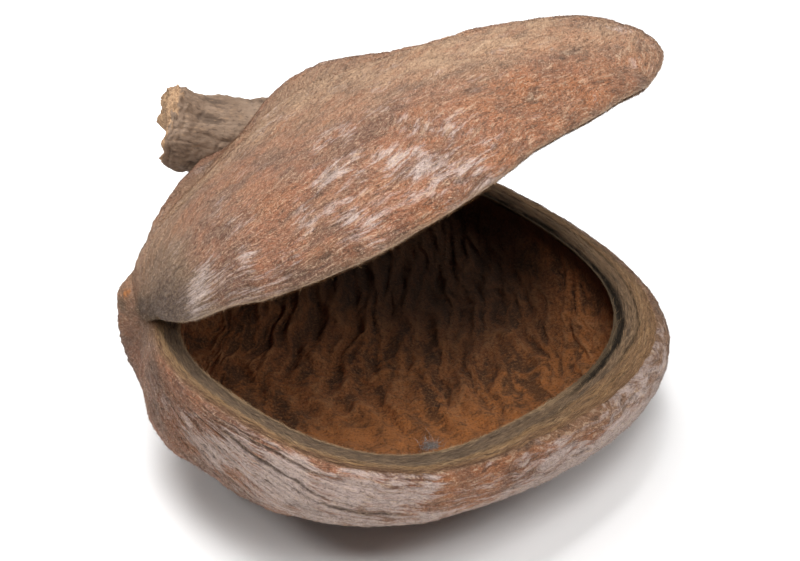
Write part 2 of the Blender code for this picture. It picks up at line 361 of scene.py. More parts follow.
def skin_relief(points, fibre):
    """Broad swells and fine relief of the skin, in millimetres."""
    broad = 0.40 * rough(points, 13, 2) + patches(points, SWELLINGS)
    broad = broad + 0.20 * rough(points + 30.0, 5, 2)
    furrows = 0.17 * rough(fibre, (26, 2.8, 2.8), 2)
    ridges = 0.13 * rough(fibre, (9, 1.1, 1.1), 2)
    pits = 0.14 * rough(points, 1.6, 3)
    open_cracks = ridged(fibre, (42, 2.2, 2.2), 2) ** 7
    where = np.clip(patches(points, CRACKED) + 0.05, 0, 1)
    return broad, furrows + ridges + pits - 0.50 * open_cracks * where


def rounded_lip(upper, grid, lining_edge, turns):
    """Rolls the last rows of the skin over the edge of the split."""
    height = DEPTH[upper] * np.abs(np.cos(turns * pi / 2)) ** (2 / ROUND[upper])
    corner = np.clip(1 - height / LIP, 0, 1)
    roll = LIP * (1 - np.sqrt(1 - corner**2))
    inward = unit(lining_edge - grid[-1])
    return grid + roll[:, None, None] * inward[None] * (1 - BACKNESS)[None, :, None]


skins, skin_heights, skin_outward = {}, {}, {}
for upper, valve in VALVES:
    grid = skin_grid[upper, False]
    outward = skin_outward[upper] = unit(grid - skin_grid[upper, True])
    broad, height = skin_relief(grid, skin_fibre[upper, False])
    grid = rounded_lip(upper, grid, skin_grid[upper, True][-1], SKIN_TURNS)
    grid = grid + (broad + height)[..., None] * outward
    grid[..., 2] = np.maximum(grid[..., 2], FLOOR)
    skins[upper], skin_heights[upper] = grid, height
    print(valve, "relief", round(height.min(), 2), "to", round(height.max(), 2))

# %% [markdown]
# Each sheet starts as a flat grid primitive. Its points are then moved to their places, the two
# edges of the grid that meet are merged, and faces that aren't wanted are deleted.

# %% Sheets
SAME_PLACE = 0.000002


def store(mesh, label, values):
    """Keeps a number or a vector for each point of the mesh, under a name."""
    kind, field = ("FLOAT_VECTOR", "vector") if values.shape[-1] == 3 else ("FLOAT", "value")
    layer = mesh.attributes.new(label, kind, "POINT")
    layer.data.foreach_set(field, np.ascontiguousarray(values, np.float32).ravel())


def sheet(name, grid, extra, keep=None):
    """A grid primitive moved onto an array of points, with numbers stored on its points."""
    rows, columns = grid.shape[0] - 1, grid.shape[1] - 1
    bpy.ops.object.select_all(action="DESELECT")
    bpy.ops.mesh.primitive_grid_add(x_subdivisions=columns, y_subdivisions=rows, size=1)
    piece = bpy.context.object
    piece.name = piece.data.name = name
    piece.data.vertices.foreach_set("co", (grid * MM).ravel())
    for label, values in extra.items():
        store(piece.data, label, values)
    bpy.ops.object.mode_set(mode="EDIT")
    bpy.ops.mesh.select_all(action="DESELECT")
    if keep is not None:
        bpy.ops.object.mode_set(mode="OBJECT")
        piece.data.polygons.foreach_set("select", ~keep.ravel())
        bpy.ops.object.mode_set(mode="EDIT")
        bpy.ops.mesh.select_mode(type="FACE")
        bpy.ops.mesh.delete(type="FACE")
    bpy.ops.mesh.select_mode(type="VERT")
    bpy.ops.mesh.select_all(action="SELECT")
    bpy.ops.mesh.remove_doubles(threshold=SAME_PLACE)
    bpy.ops.object.mode_set(mode="OBJECT")
    piece.data.update()
    bpy.ops.object.shade_smooth()
    return piece


def face_out(piece, from_point):
    """Turns the faces over if most of them look towards the given point, in millimetres."""
    count = len(piece.data.polygons)
    normals, centres = np.empty(count * 3), np.empty(count * 3)
    piece.data.polygons.foreach_get("normal", normals)
    piece.data.polygons.foreach_get("center", centres)
    away = centres.reshape(-1, 3) - np.array(from_point) * MM
    if np.sum(normals.reshape(-1, 3) * away) < 0:
        piece.data.flip_normals()
    return piece


def add_piece(name, piece):
    """Puts a piece on the list and prints its triangles."""
    pieces[name] = piece
    print(name, sum(len(face.vertices) - 2 for face in piece.data.polygons), "triangles")


pieces = {}

# %% [markdown]
# Colour is laid on in patches, as on the real pod: a chalky lilac bloom where the skin was
# rubbed, rusty spots, a paler top that is partly dust and partly painted light, and a dark olive
# zone beside the beak. Each patch is stored as a number on the points, and the material breaks it up
# into flecks.

# %% Patches of colour
BLOOM = [
    (-10.6, -26.8, 64.8, 6, 0.3), (-0.6, -39.3, 67.3, 6, 0.4), (6.7, -34.6, 69.5, 6, 0.5),
    (-14.9, -39.3, 60.6, 6, 0.4), (-23.7, -39, 51.8, 6, 0.8), (-29.7, -34.3, 47, 5, 0.9),
    (-7.6, -15.6, 65.1, 5, 0.3), (10.9, -37.6, 68, 5, 0.5), (27, -28, 70, 5, 0.3),
    (-25.5, -40.5, 22.4, 7, 0.7), (-15, -47.9, 22.2, 8, 1.0), (-3.2, -50.5, 21.4, 8, 1.1),
    (-30.1, -36.5, 25.1, 6, 0.6), (15, -42, 16, 8, 1.2), (40.1, -12.1, 14, 7, 2.6),
    (33.1, -24, 13, 8, 1.8), (42, 0, 14, 6, 1.2), (0, -45, 10, 12, 1.0), (-20, -40, 12, 10, 0.8),
    (24, -34, 12, 8, 1.4), (42.5, -8, 14, 5, 1.2), (37, -21, 14, 5, 0.9), (28, -33, 14, 5, 0.8),
    (-3.3, -31.4, 67.6, 8, 0.5), (2.6, -25.4, 69.1, 6, 0.3), (41, -12, 13, 6, 0.8),
]
RUST = [
    (21.2, -17.1, 71.9, 5, 1.0), (11.5, -20.2, 71.2, 8, 0.6), (17, -29.8, 70, 6, 0.5),
    (5.1, -41.9, 66.5, 4, 0.8), (7.2, -47.8, 21.3, 5, 0.8), (23.6, -33.7, 21.3, 5, 1.0),
    (31.1, -24.2, 20.2, 5, 0.9), (-20, -20, 62, 9, 0.3), (30, -10, 72, 8, 0.6),
    (15, -41, 20.5, 5, 1.0), (38, -14, 18.5, 4, 0.9), (-4, -48, 20.8, 4, 0.5),
    (28, -29, 19.5, 4, 0.9), (22, -14, 71, 4, 0.6), (36, 2, 69, 6, 0.4), (12, -44, 19.5, 3.5, 0.9),
]
# Where the skin is paler: partly dust, partly painted light on the lid's top and upper left, where
# the light falls.
PALE = [
    (3.5, 9.1, 63.1, 12, 0.9), (25.5, 15.5, 65.8, 10, 0.9), (37.2, 6.2, 68.3, 8, 0.5),
    (-15.3, 20.7, 51.2, 12, 1.0), (-34.2, 6.1, 39.5, 9, 0.9), (-25, 15, 48, 9, 0.8),
    (-38, -8, 38, 7, 0.7), (12, 5, 66, 10, 0.5),
]
OLIVE = [
    (-36.1, -24.4, 42.3, 6, 1.0), (-29.7, -35.1, 45.7, 4, 1.0), (-37, -16, 40, 6, 0.6),
    (-33, -30, 43, 4, 0.8), (-20, -42, 48, 4, 0.4), (-43.1, -11.9, 31.2, 1.2, 0.9),
    (-38, -20.5, 35, 2.5, 0.9), (-35.5, -26, 38, 2.5, 0.8), (-32.5, -30.5, 40, 2.2, 0.7),
    (-35.8, -27.3, 39.3, 1.5, 1.1), (-33.9, -30.7, 39.7, 1.5, 1.2), (-31.8, -33.2, 40.6, 1.4, 1.2),
    (-29.5, -35.4, 42.5, 1.2, 0.7), (-39.8, -15.5, 33.6, 1.3, 1.5), (-38.6, -19, 34.8, 1.3, 1.4),
]
SCAR = [(-42.3, -11.3, 33.5, 0.75, 1.1)]


def skin_numbers(grid, height, fibre, upper):
    """The numbers that the skin's material reads, from 0 to about 1 each."""
    wide = 0.5 + (0.0 if upper else 4.5) * smooth((DEGREES + 60) / 50)
    down = np.linalg.norm(grid - grid[-1][None], axis=-1)
    edge = (1 - BACKNESS)[None] * (1 - smooth((down - 0.4 * wide) / wide))
    wander = rough(grid, 7, 3)
    wander_two = rough(grid + 50.0, 6, 3)
    rust = np.clip(0.8 * patches(grid, RUST) + 0.60 * wander_two - 0.06, 0, 1.0)
    bloom = np.clip(0.52 * patches(grid, BLOOM) + 0.60 * wander - 0.04, 0, 1.5)
    return {
        "fibre": fibre,
        "relief": np.clip(0.5 + height / 0.7, 0, 1),
        "bloom": bloom * (1 - 0.5 * edge) * (1 - 0.6 * np.clip(1.4 * rust - 0.5, 0, 1)),
        "rust": rust,
        "pale": np.clip(patches(grid, PALE) + 0.20 * wander_two, 0, 1.2),
        "olive": np.clip(patches(grid, OLIVE) + 0.15 * wander - 0.05, 0, 2.0),
        "scar": np.clip(patches(grid, SCAR), 0, 1.2),
        "edge": 0.75 * edge,
        "lip": (1 - BACKNESS)[None] * np.exp(-((down / 0.95) ** 2)) * (1.0 if upper else 0.0),
    }


HOLLOW_MIDDLE = ((0, 0, 30), (0, 0, 45))
skin_data = {}
for upper, valve in VALVES:
    numbers = skin_numbers(skins[upper], skin_heights[upper], skin_fibre[upper, False], upper)
    skin_data[upper] = numbers
    name = f"{valve}_skin"
    add_piece(name, face_out(sheet(name, skins[upper], numbers), HOLLOW_MIDDLE[upper]))

# %% [markdown]
# Close up, the skin is covered in a short felt of broken fibres that catch the light. Each hair is
# one long thin triangle. It starts on the skin, follows the fibres roughly, and stands up a
# little. A random generator with a fixed seed places them, and each hair keeps a number of its
# own that makes it lighter or darker. A kind of hair is a count, a length and a width in
# millimetres, and how far its direction strays, in radians.

# %% Felt of short fibres
SKIN_HAIRS, BAND_HAIRS = (150000, 0.6, 0.085, 0.45), (36000, 1.5, 0.075, 0.1)


def placed(name, mesh):
    """An object in the scene that shows the mesh."""
    piece = bpy.data.objects.new(name, mesh)
    bpy.context.scene.collection.objects.link(piece)
    return piece


def fibre_direction(grid, fibre):
    """Unit vectors along the fibres, from how the fibre places change over the grid."""
    by_row, by_column = np.gradient(grid, axis=0), np.gradient(grid, axis=1)
    f_row, f_column = np.gradient(fibre, axis=0), np.gradient(fibre, axis=1)
    spin_row = fibre[..., 1] * f_row[..., 2] - fibre[..., 2] * f_row[..., 1]
    spin_column = fibre[..., 1] * f_column[..., 2] - fibre[..., 2] * f_column[..., 1]
    along = by_row * spin_column[..., None] - by_column * spin_row[..., None]
    return along / (np.linalg.norm(along, axis=-1)[..., None] + 1e-9)


def felt(name, grid, outward, fibre, numbers, hairs, seed):
    """Many short tapered hairs on a sheet, in one mesh that keeps the sheet's numbers."""
    random = np.random.default_rng(seed)
    count, length, width, stray = hairs
    by_row, by_column = np.gradient(grid, axis=0), np.gradient(grid, axis=1)
    area = np.linalg.norm(np.cross(by_row, by_column), axis=-1).ravel()
    chosen = random.choice(area.size, size=count, p=area / area.sum())

    def flat(values):
        return values.reshape(-1, *values.shape[2:])[chosen]

    jitter = random.uniform(-0.5, 0.5, (count, 2, 1))
    base = flat(grid) + jitter[:, 0] * flat(by_row) + jitter[:, 1] * flat(by_column)
    out, along = flat(outward), flat(fibre_direction(grid, fibre))
    across = np.cross(out, along)
    turn = random.normal(0, stray, (count, 1)) + np.where(random.random((count, 1)) < 0.5, pi, 0)
    rise = random.uniform(0.02, 0.3, (count, 1))
    way = np.cos(turn) * along + np.sin(turn) * across
    side = np.cross(out, way)
    long = length * random.uniform(0.5, 1.3, (count, 1))
    half = width / 2 * random.uniform(0.7, 1.3, (count, 1))
    tip = base + long * (way * np.cos(rise) + out * np.sin(rise)) + 0.03 * out
    points = np.stack([base - half * side, base + half * side, tip], axis=1)
    points[..., 2] = np.maximum(points[..., 2], FLOOR + 0.02)
    mesh = bpy.data.meshes.new(name)
    mesh.vertices.add(3 * count)
    mesh.loops.add(3 * count)
    mesh.polygons.add(count)
    mesh.vertices.foreach_set("co", (points * MM).ravel())
    mesh.loops.foreach_set("vertex_index", np.arange(3 * count))
    mesh.polygons.foreach_set("loop_start", 3 * np.arange(count))
    mesh.update(calc_edges=True)
    for label, values in numbers.items():
        store(mesh, label, np.repeat(flat(values), 3, axis=0))
    store(mesh, "tint", np.repeat(random.uniform(-0.7, 0.5, count), 3))
    return placed(name, mesh)


for upper, valve in VALVES:
    fibre = skin_fibre[upper, False]
    name, grid, outward = f"{valve}_felt", skins[upper], skin_outward[upper]
    add_piece(name, felt(name, grid, outward, fibre, skin_data[upper], SKIN_HAIRS, 7 + upper))

# %% [markdown]
# The split shows the cut wall: a pale woody band about 5 mm wide. Its outer part is layered in
# golden streaks, then comes a dark groove, and the inner part is a grey step that sinks towards
# the lining. The band is its own run of rows between the skin's last row and the lining's last,
# with a felt of longer, straighter hairs. The lining's wrinkles fan out from the back of the bowl.

# %% Band and lining
FAN_FROM, BAND_WIDTH = np.array([2.0, 38.0]), 4.5
SMOOTH_SPOTS = [(-4, -12, 6, 7, 0.8), (12, -14, 6, 6, 0.5), (-30, -4, 12, 6, 0.5)]
# Spots of painted light on the bowl's lining, each a place, a width and a strength.
PAINTED_LIGHT_SPOTS = [(-4, -11, 6, 7, 0.9), (9, -13, 7, 8, 0.8), (30, 4, 10, 9, 0.6), (20, -6, 7, 7, 0.5)]


def lining_relief(points, turns):
    """Height of the lining's wrinkles, which spread from the back of the bowl to its front."""
    spread = 1 + 0.011 * (FAN_FROM[1] - points[..., 1])
    x = (points[..., 0] - FAN_FROM[0]) / spread
    x = x + 1.3 * rough(points, (9, 10, 10), 2) + 0.45 * rough(points + 9.0, (4, 5, 5), 2)
    space = np.stack([x, points[..., 1], points[..., 2]], axis=-1)
    folds = ridged(space, (1.9, 12, 11), 1) ** 1.5
    small = ridged(space + 31.0, (1.0, 5, 5), 2) ** 2
    calm = 1 - 0.8 * np.clip(patches(points, SMOOTH_SPOTS), 0, 1)
    fade = smooth((0.97 - turns) / 0.16)[:, None]
    velvet = 0.07 * rough(points, 1.0, 2)
    wrinkles = 0.85 * folds + 0.45 * small
    tone = 0.55 + (wrinkles - 0.55) * calm * fade
    return (wrinkles * calm * fade + velvet) * fade, np.clip(tone, 0, 1), space


def band_rows(upper, outer_edge, inner_edge):
    """The rows of the cut wall between the skin's edge and the lining's edge."""
    if upper:
        up_axis = np.sin(radians(OPENING)) * FREE - np.array([0, 0, np.cos(radians(OPENING))])
    else:
        up_axis = np.array([0.0, 0.0, 1.0])
    up_axis = lean(up_axis[None])[0]
    share = BAND_SHARES[:, None]
    step = np.linalg.norm(np.diff(outer_edge, axis=0), axis=1)
    length = np.concatenate([[0], np.cumsum(step)])
    side = RIGHTNESS * (0.0 if upper else 1.0)
    step_at = 0.36 + 0.42 * side
    space = np.stack(np.meshgrid(length, share * BAND_WIDTH), axis=-1)
    space = np.concatenate([space, np.zeros(space.shape[:2] + (1,))], axis=-1)
    wander = 0.07 * rough(space * [1, 0, 0], (11, 5, 5), 2)
    place = share + wander
    crown = (0.30 + 0.55 * side) * np.sin(pi * np.clip(place / step_at, 0, 1)) ** 0.8
    step_down = -(0.06 + 1.30 * side**2) * smooth((place - step_at) / 0.06)
    groove = -0.16 * np.exp(-(((place - step_at) / 0.03) ** 2))
    lip = 0.45 * np.exp(-(((place - 0.95) / 0.04) ** 2))
    streaks = 0.13 * rough(space, (7, 0.42, 1), 2) + 0.10 * ridged(space, (12, 0.9, 1), 1)
    height = (crown + step_down + groove + lip + streaks) * np.sin(pi * share) ** 0.5
    height *= 0.25 + 0.75 * (1 - BACKNESS)[None]
    rows = outer_edge * (1 - share[..., None]) + inner_edge * share[..., None]
    side, far = side + 0 * place, smooth((DEGREES - 8) / 25) + 0 * place
    numbers = {"grain": space, "place": np.clip(place, 0, 1), "side": side, "far": far}
    return rows + height[..., None] * up_axis, numbers, up_axis


# %% Make the band and the lining of each valve
BEHIND_BAND = ((0, 0, -400), (0, 200, 400))
bands = {}
for upper, valve in VALVES:
    lining = lining_grid[upper, True]
    outward = unit(lining_grid[upper, False] - lining)
    if upper:
        height = 0.12 * rough(lining, 3, 3) * smooth((0.97 - LINING_TURNS) / 0.1)[:, None]
        tone, space = 0.55 + height, lining
    else:
        height, tone, space = lining_relief(lining, LINING_TURNS)
    lining = lining - height[..., None] * outward
    rows, numbers, up_axis = band_rows(upper, skins[upper][-1], lining[-1])
    bands[upper] = (rows, up_axis)
    share = BAND_SHARES[:, None] + 0 * rows[..., 0]
    lines = FIBRE_RADIUS * np.stack([0 * share, np.cos(share), np.sin(share)], axis=-1)
    free = slice(4, int(FREE_COLUMNS))
    crop = {label: values[:, free] for label, values in numbers.items()}
    up = np.broadcast_to(up_axis, rows[:, free].shape)
    name = f"{valve}_band_felt"
    add_piece(name, felt(name, rows[:, free], up, lines[:, free], crop, BAND_HAIRS, 17 + upper))
    keep = np.repeat((~IS_BACK[:-1])[None], BAND_ROWS, axis=0)
    name = f"{valve}_band"
    add_piece(name, face_out(sheet(name, rows, numbers, keep), BEHIND_BAND[upper]))
    # Painted shade: each lining is darker towards the back, where the lid shades it, and near the
    # rim from the front right round to the back.
    painted_shade = smooth((lining[..., 1] + 6 - 0.35 * np.abs(lining[..., 0] - 8)) / 34)
    painted_shade = 0.85 * painted_shade * (1 - smooth((lining[..., 0] - 20) / 14)) if not upper else 0.8 * painted_shade
    under = smooth((LINING_TURNS - 0.8) / 0.12)[:, None] * smooth((DEGREES + 40) / 40)
    painted_shade = np.maximum(painted_shade, 0.8 * under)
    # Painted light: bright orange pools on the lining at the front and on the right.
    painted_light = np.clip(patches(lining, PAINTED_LIGHT_SPOTS), 0, 1)
    numbers = {"relief": tone, "painted_shade": painted_shade, "painted_light": painted_light, "wrinkle": space}
    name = f"{valve}_lining"
    piece = face_out(sheet(name, lining, numbers), HOLLOW_MIDDLE[upper])
    piece.data.flip_normals()
    add_piece(name, piece)

# %% [markdown]
# Loose fibres make the cut edge look torn instead of moulded. They are ribbons of a few faces
# each: straw-coloured ones lie along the band, short ones stick out at both rims, and a small tuft
# of grey lint is caught on the floor of the bowl near the front.

# %% Loose fibres
BITS = 5
LINT_AT = (5.4, -17.4, 8.6)


def strands(name, roots, ways, outs, lengths, width, curl, seed):
    """Thin bent ribbons. Each starts at its root, runs its way and lifts off with a curl."""
    random = np.random.default_rng(seed)
    count = len(roots)
    ways = unit(ways)
    sides = unit(np.cross(outs, ways))
    t = np.linspace(0, 1, BITS + 1)[None, :, None]
    sway, lift = random.normal(0, curl, (count, 1, 1)), random.uniform(0, curl, (count, 1, 1))
    bend = sway * sides[:, None] + lift * outs[:, None]
    line = roots[:, None] + lengths[:, None, None] * (t * ways[:, None] + t**2 * bend)
    half = width / 2 * (1 - 0.8 * t) * sides[:, None]
    points = np.stack([line - half, line + half], axis=2)
    step = 2 * np.arange(BITS)[:, None] + np.array([0, 1, 3, 2])
    faces = (2 * (BITS + 1) * np.arange(count)[:, None, None] + step[None]).reshape(-1, 4)
    mesh = bpy.data.meshes.new(name)
    mesh.from_pydata((points.reshape(-1, 3) * MM).tolist(), [], faces.tolist())
    store(mesh, "tint", np.repeat(random.uniform(0, 1, count), 2 * (BITS + 1)))
    return placed(name, mesh)


def band_fibres(name, upper, count, seed):
    """Fibres that lie along the band."""
    random = np.random.default_rng(seed)
    rows, up_axis = bands[upper]
    column = (2 + random.random(count) ** 1.9 * (FREE_COLUMNS - 3)).astype(int)
    side = RIGHTNESS[column] * (0.0 if upper else 1.0)
    share = random.normal(0.24 + 0.16 * side, 0.11 + 0.07 * side)
    row = np.clip(share * BAND_ROWS, 1, BAND_ROWS - 2).astype(int)
    ways = (rows[row, column + 1] - rows[row, column]) * random.choice([-1, 1], count)[:, None]
    ways = unit(ways) + random.normal(0, 0.08, (count, 3))
    outs = np.repeat(up_axis[None], count, axis=0)
    return strands(name, rows[row, column] + 0.05 * outs, ways, outs,
                   random.uniform(0.8, 3.0, count), 0.09, 0.14, seed + 1)


def rim_fibres(name, upper, count, seed):
    """Short fibres that stand up along the inner edge of the bowl or hang from the lid's rim."""
    random = np.random.default_rng(seed)
    rows, up_axis = bands[upper]
    column = random.integers(3, int(FREE_COLUMNS), count)
    row = random.integers(0, 2, count) if upper else BAND_ROWS - random.integers(1, 3, count)
    across = unit(rows[-1, column] - rows[0, column])
    outs = np.repeat(up_axis[None], count, axis=0)
    ways = outs * random.uniform(0.1, 0.9, (count, 1))
    ways += across * random.uniform(-0.2, 0.9, (count, 1))
    ways += random.normal(0, 0.5, (count, 3))
    return strands(name, rows[row, column], ways, outs, random.uniform(0.2, 0.7, count),
                   0.07, 0.5, seed + 1)


def lint(name, centre, count, seed):
    """A small loose tuft."""
    random = np.random.default_rng(seed)
    roots = np.array(centre) + random.normal(0, 1, (count, 3)) * [0.7, 0.5, 0.3]
    ways, outs = random.normal(0, 1, (count, 3)), random.normal(0, 1, (count, 3))
    return strands(name, roots, ways, outs, random.uniform(0.3, 0.9, count), 0.07, 0.9, seed + 1)


for name, make, where, count, seed in (
    ("bowl_fibres", band_fibres, False, 1300, 31),
    ("lid_fibres", band_fibres, True, 500, 33),
    ("bowl_fringe", rim_fibres, False, 260, 35),
    ("lid_fringe", rim_fibres, True, 260, 37),
    ("lint", lint, LINT_AT, 420, 39),
):
    add_piece(name, make(name, where, count, seed))

# %% [markdown]
# The stalk broke off short. Its bark is grey brown with furrows along it and a torn, paler knob on
# top beside the break. One grid makes the whole stub: its first rows are the broken face, cupped
# and slanted, and the rest is the bark, which widens where it runs into the shoulder.

# %% Stalk
STALK = [(-25.3, 37.9, 7.7), (-24.0, 37.9, 7.4), (-20.5, 38.1, 6.7), (-16.5, 38.3, 5.9)]
STALK += [(-12.5, 38.4, 5.1), (-9.5, 37.8, 4.6), (-6.0, 37.5, 4.4)]
STALK_RADIUS = [6.5, 6.7, 6.6, 6.7, 7.1, 8.0, 9.8]
STALK_COLUMNS, STALK_ROWS, BREAK_ROWS = 220, 190, 46
STALK_LENGTH, GRAIN_RADIUS, TEAR_REACH = 20, 6, 9.0
KNOB_AT, KNOB_LENGTH, KNOB_SPREAD = 3.2, 2.0, 0.8


def stalk_grid():
    """Points of the stub, from the middle of the break to inside the wall."""
    places = np.array(STALK) + SHIFT
    knots = np.linspace(0, 1, len(places))
    side_rows = STALK_ROWS - BREAK_ROWS
    share = np.concatenate([np.zeros(BREAK_ROWS), np.linspace(0, 1, side_rows + 1)])
    centre = np.stack([np.interp(share, knots, places[:, k]) for k in range(3)], axis=-1)
    centre = blurred(centre, 4.0, 0)
    radius = np.interp(share, knots, STALK_RADIUS)[:, None]
    widening = np.linspace(0, 1, BREAK_ROWS, endpoint=False) ** 0.8
    open_up = np.concatenate([widening, np.ones(side_rows + 1)])[:, None]
    axis = unit(places[3] - places[0])
    side = unit(np.cross(axis, [0, 0, 1.0]))
    top = np.cross(side, axis)
    turn = np.linspace(0, 2 * pi, STALK_COLUMNS + 1)[None]
    cos, sin = np.cos(turn), np.sin(turn)
    along = STALK_LENGTH * share[:, None]
    wheel = [along + 0 * turn, GRAIN_RADIUS * cos * open_up, GRAIN_RADIUS * sin * open_up]
    grain = np.stack(wheel, axis=-1)
    bark = 0.22 * rough(grain, (9, 2.6, 2.6), 2) + 0.42 * rough(grain, 3.6, 3)
    bark -= 0.18 * ridged(grain + 5.0, (2.3, 6.0, 6.0), 2) ** 3
    bark -= 0.22 * ridged(grain + 60.0, (9, 2.2, 2.2), 2) ** 6
    bark += 0.10 * rough(grain, 0.7, 2)
    off = ((along - KNOB_AT) / KNOB_LENGTH) ** 2 + ((turn - pi / 2) / KNOB_SPREAD) ** 2
    knob = np.exp(-off)
    bark += knob * (0.8 + 0.8 * rough(grain, 0.8, 2))
    oval = 1.0 + 0.05 * np.cos(2 * turn + 0.7)
    reach = radius * open_up * oval + bark * open_up**3
    slant = 0.62 * smooth((-sin - 0.3) / 0.7) - 0.20
    tear = 0.6 * rough(grain * [0, 1, 1] + 40.0, (9, 2.6, 2.6), 3) + slant * radius
    face = 0.8 * rough(np.stack([reach * cos, reach * sin, 0 * reach], -1), 1.6, 3) * open_up**2
    cup = 0.9 * (1 - open_up**2)
    push = tear * open_up * (1 - smooth(along / TEAR_REACH))
    push = push + (face + cup) * (share < 1e-9)[:, None]
    spoke = cos[..., None] * side + sin[..., None] * top
    return centre[:, None] + reach[..., None] * spoke + push[..., None] * axis, grain, bark, knob


points, grain, bark, knob = stalk_grid()
torn = 2.0 - grain[..., 0] / 0.5 + 6.5 * knob + 2.4 * rough(grain, (1.0, 0.9, 0.9), 2)
numbers = {"fibre": grain, "relief": np.clip(0.5 + bark / 1.1, 0, 1), "broken": np.clip(torn, 0, 1)}
add_piece("stalk", face_out(sheet("stalk", points, numbers), tuple(np.array(STALK[3]) + SHIFT)))

# %% [markdown]
# Materials are built from noise. A few short helpers keep the node code readable: each adds one
# node to the tree that its first input is in, links what it is given, and returns its output.


# %% Helpers for materials
def new_material(name, roughness, sheen=0.0, sheen_tint=(1.0, 1.0, 1.0)):
    """A matt material and its node tree."""
    material = bpy.data.materials.new(name)
    material.use_nodes = True
    inputs = material.node_tree.nodes["Principled BSDF"].inputs
    inputs["Roughness"].default_value = roughness
    inputs["Specular IOR Level"].default_value = 0.25
    inputs["Sheen Weight"].default_value = sheen
    inputs["Sheen Tint"].default_value = (*sheen_tint, 1.0)
    return material, material.node_tree


def feed(socket, value):
    """Links an output to a socket, or sets a plain value."""
    if isinstance(value, bpy.types.NodeSocket):
        socket.id_data.links.new(value, socket)
    else:
        socket.default_value = value


def stored(tree, name, vector=False):
    """The number or the vector that the mesh keeps under this name."""
    node = tree.nodes.new("ShaderNodeAttribute")
    node.attribute_name = name
    return node.outputs["Vector" if vector else "Fac"]


def object_place(tree):
    """The place on the piece, in millimetres."""
    scale = tree.nodes.new("ShaderNodeVectorMath")
    scale.operation = "SCALE"
    scale.inputs["Scale"].default_value = 1 / MM
    feed(scale.inputs[0], tree.nodes.new("ShaderNodeTexCoord").outputs["Object"])
    return scale.outputs["Vector"]


def noise(place, size, detail, roughness, warp=0.0):
    """Noise from 0 to 1. The size is a lump's width in millimetres, or one for each axis."""
    nodes = place.id_data.nodes
    mapping, node = nodes.new("ShaderNodeMapping"), nodes.new("ShaderNodeTexNoise")
    mapping.inputs["Scale"].default_value = [1.0 / s for s in np.broadcast_to(size, 3)]
    feed(mapping.inputs["Vector"], place)
    feed(node.inputs["Vector"], mapping.outputs["Vector"])
    node.inputs["Scale"].default_value = 1.0
    node.inputs["Detail"].default_value = detail
    node.inputs["Roughness"].default_value = roughness
    node.inputs["Distortion"].default_value = warp
    return node.outputs["Fac"]


def between(value, low, high, to_low=0.0, to_high=1.0):
    """Slides smoothly from to_low to to_high while the value goes from low to high."""
    node = value.id_data.nodes.new("ShaderNodeMapRange")
    node.interpolation_type = "SMOOTHSTEP"
    for socket, number in zip(node.inputs, (value, low, high, to_low, to_high)):
        feed(socket, number)
    return node.outputs["Result"]


def maths(operation, a, b=0.0, c=0.0):
    """One sum of two or three numbers."""
    node = a.id_data.nodes.new("ShaderNodeMath")
    node.operation = operation
    for socket, number in zip(node.inputs, (a, b, c)):
        feed(socket, number)
    return node.outputs["Value"]


def times(a, b):
    return maths("MULTIPLY", a, b)


def mix(share, a, b):
    """A colour between a and b."""
    node = share.id_data.nodes.new("ShaderNodeMix")
    node.data_type = "RGBA"
    node.clamp_factor = True
    for place, value in ((0, share), (6, a), (7, b)):
        feed(node.inputs[place], (*value, 1.0) if isinstance(value, tuple) else value)
    return node.outputs[2]


def coats(colour, *layers):
    """Lays paints over a colour. A layer is a paint, the value that steers it, where it starts and
    where it is full, its largest share, and a mask if it has one."""
    for paint, value, low, high, most, *masks in layers:
        share = between(value, low, high, 0.0, most)
        for mask in masks:
            share = times(mask, share)
        colour = mix(share, colour, paint)
    return colour


def tinted(colour, tint, light, dark):
    """Makes a hair lighter where its own number is above 0 and darker where it is below."""
    colour = mix(maths("MAXIMUM", tint, 0.0), colour, light)
    return mix(maths("MAXIMUM", times(tint, -1.0), 0.0), colour, dark)


def finished(material, colour, *bumps):
    """Links the colour and the bumps, the top one first: a height, its size and a strength."""
    inputs = material.node_tree.nodes["Principled BSDF"].inputs
    feed(inputs["Base Color"], colour)
    normal = inputs["Normal"]
    for height, distance, strength in bumps:
        node = material.node_tree.nodes.new("ShaderNodeBump")
        node.inputs["Distance"].default_value = distance * MM
        node.inputs["Strength"].default_value = strength
        feed(node.inputs["Height"], height)
        feed(normal, node.outputs["Normal"])
        normal = node.inputs["Normal"]
    return material


# %% [markdown]
# The skin is a matt reddish brown felt of fine fibres. Its colour starts from broad patches of
# umber and red brown; fibres add light and dark streaks, painted shade darkens the hollows and
# painted light brightens the ridges, and the stored patches lay bloom, rust, a pale top that is
# partly dust and partly painted light, and olive on top, each broken up into flecks.

# %% Skin material
UMBER, RED_BROWN, TAN = (0.15, 0.066, 0.04), (0.28, 0.11, 0.056), (0.345, 0.19, 0.108)
# The pale tan on the next line is partly dust and partly painted light.
DEEP, DUST_AND_PAINTED_LIGHT, FLECK = (0.062, 0.033, 0.021), (0.42, 0.26, 0.155), (0.61, 0.44, 0.3)
CHALK, ORANGE, OLIVE_BROWN = (0.5, 0.395, 0.355), (0.3, 0.105, 0.036), (0.15, 0.094, 0.054)
TORN, EDGE_BROWN, LIP_TAN = (0.43, 0.17, 0.055), (0.215, 0.12, 0.067), (0.47, 0.33, 0.205)


